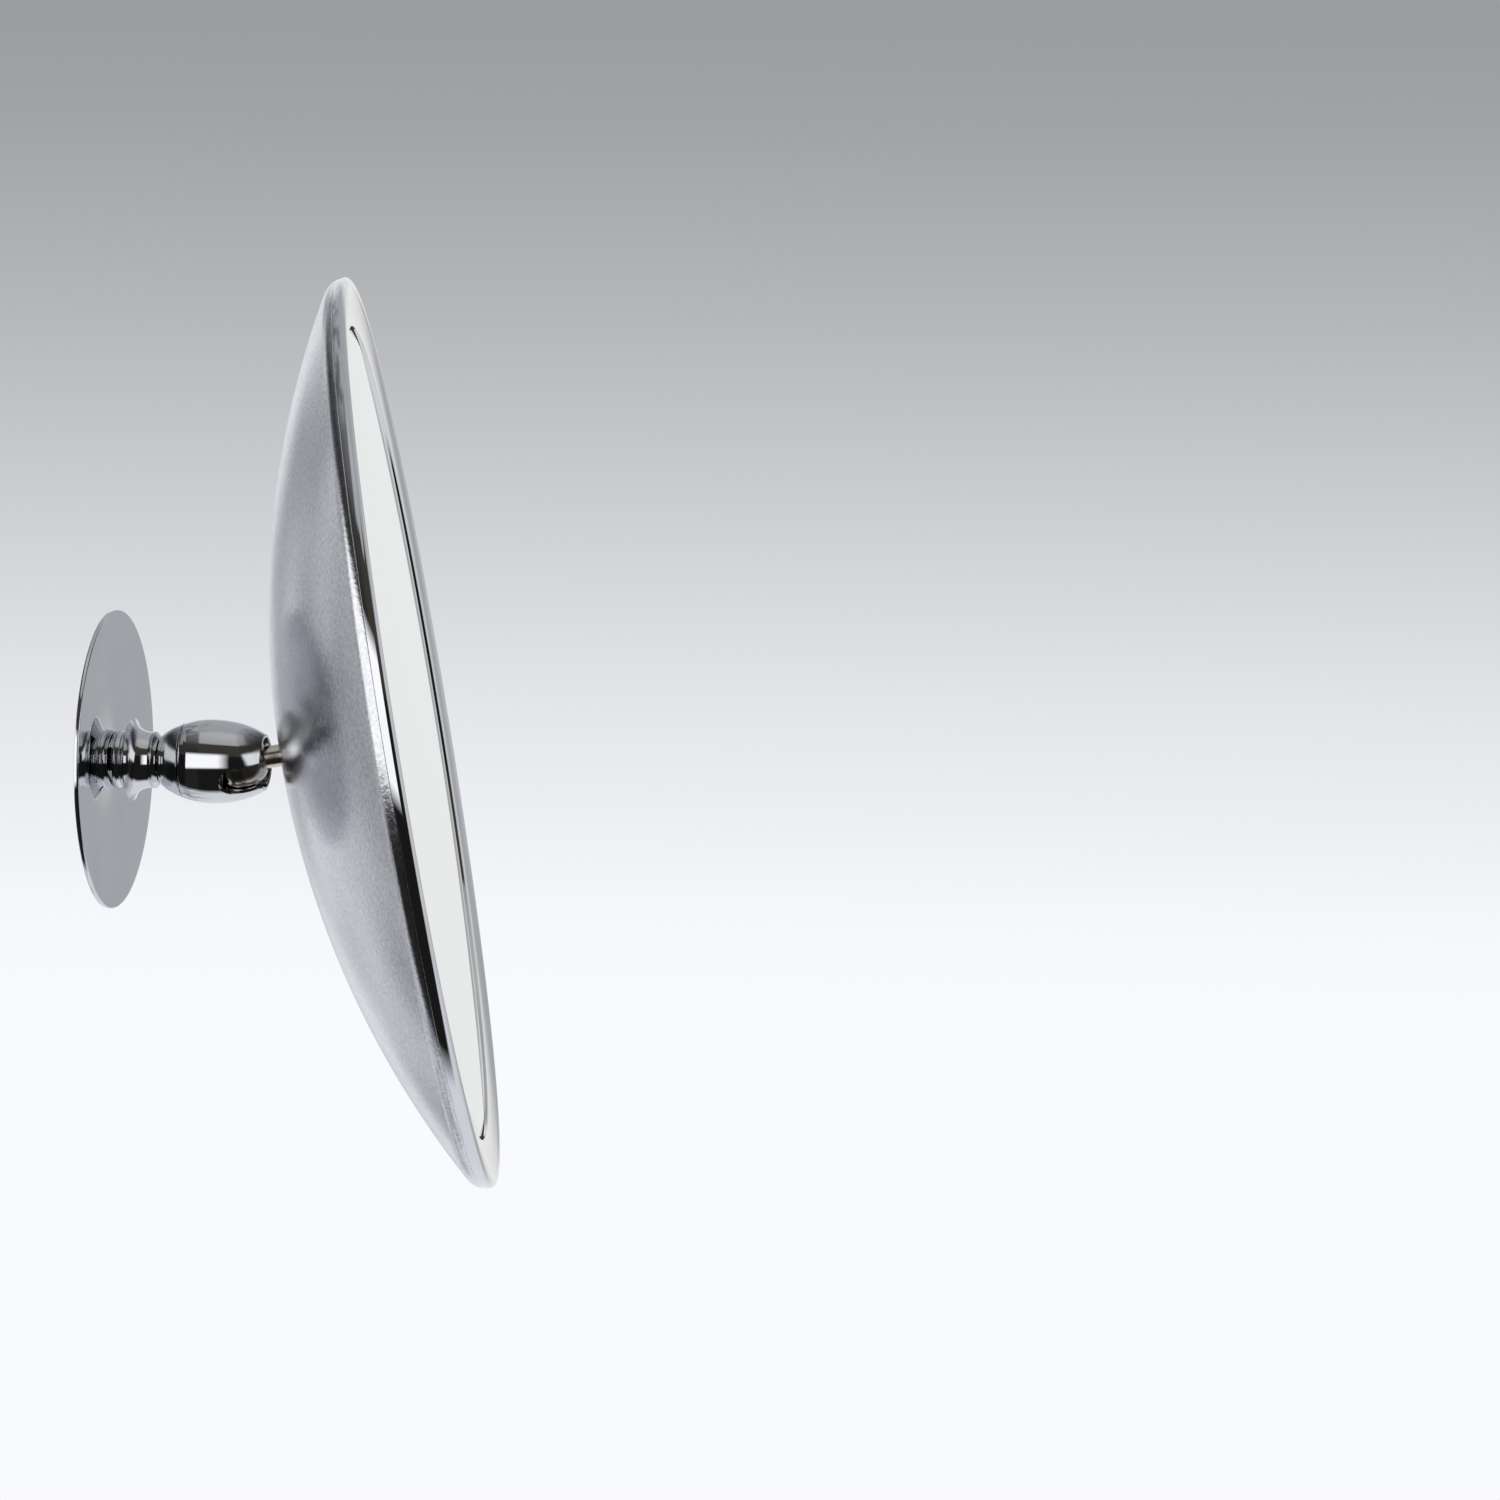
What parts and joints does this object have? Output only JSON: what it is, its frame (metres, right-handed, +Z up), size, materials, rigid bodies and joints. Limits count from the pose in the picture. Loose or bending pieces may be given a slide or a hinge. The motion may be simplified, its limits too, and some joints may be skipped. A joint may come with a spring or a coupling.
{
  "type": "wall-mounted shaving mirror",
  "caption": "Round shaving mirror with a dished metal back, held off a small wall disc by a turned neck and an egg-shaped ball joint with a side slot.",
  "frame": {"origin": "centre of the mounting disc's back face, on the wall plane", "axes": "+Y into the wall, -Y along the arm towards the user, +Z up"},
  "size_m": [0.2271, 0.1077, 0.2266],
  "materials": {
    "polished_chrome": "polished",
    "satin_chrome": "satin",
    "satin_nickel": "satin, slightly warm",
    "zinc_steel": "bright zinc",
    "black_steel": "blackened",
    "brass": "turned",
    "white_nylon": "smooth moulded",
    "black_rubber": "matt",
    "grey_board": "matt",
    "mirror_silver": "silvered, bevelled edge"
  },
  "bodies": {
    "wall_unit": {"mounting_disc": "zinc_steel", "wall_plate": "polished_chrome", "neck_stud": "zinc_steel", "neck_spindle": "polished_chrome", "neck_grub_screw": "black_steel", "socket_rear_cup": "polished_chrome", "disc_spring_1": "zinc_steel", "disc_spring_2": "zinc_steel", "spring_seat": "brass"},
    "socket_front": {"socket_front_shell": "polished_chrome"},
    "ball_liner": {"friction_cup": "white_nylon"},
    "ball_stem": {"ball": "satin_nickel", "stem_rod": "satin_nickel", "stem_lock_nut": "zinc_steel"},
    "mirror_head": {"head_back_shell": "satin_chrome", "hub_plate": "zinc_steel", "hub_bush": "white_nylon", "stem_washer": "zinc_steel", "stem_spring_washer": "zinc_steel", "rim_bezel": "polished_chrome", "rim_seal": "black_rubber", "mirror_glass": "mirror_silver", "backing_board": "grey_board", "retaining_ring": "zinc_steel"}
  },
  "joints": [
    {"name": "socket_turn", "type": "hinge", "parent": "wall_unit", "child": "socket_front", "pos_m": [0, -0.03565, 0], "axis": [0, -1, 0], "continuous": true},
    {"name": "ball_pan", "type": "hinge", "parent": "wall_unit", "child": "ball_liner", "pos_m": [0, -0.03565, 0], "axis": [0, 0, 1], "range_deg": [-25.2, 6.8]},
    {"name": "ball_tilt", "type": "hinge", "parent": "ball_liner", "child": "ball_stem", "pos_m": [0, -0.03565, 0], "axis": [0.9871, 0.1599, 0], "range_deg": [-6.15, 25.85]},
    {"name": "head_spin", "type": "hinge", "parent": "ball_stem", "child": "mirror_head", "pos_m": [0, -0.03565, 0], "axis": [0.1575, -0.9726, 0.1711], "continuous": true}
  ]
}
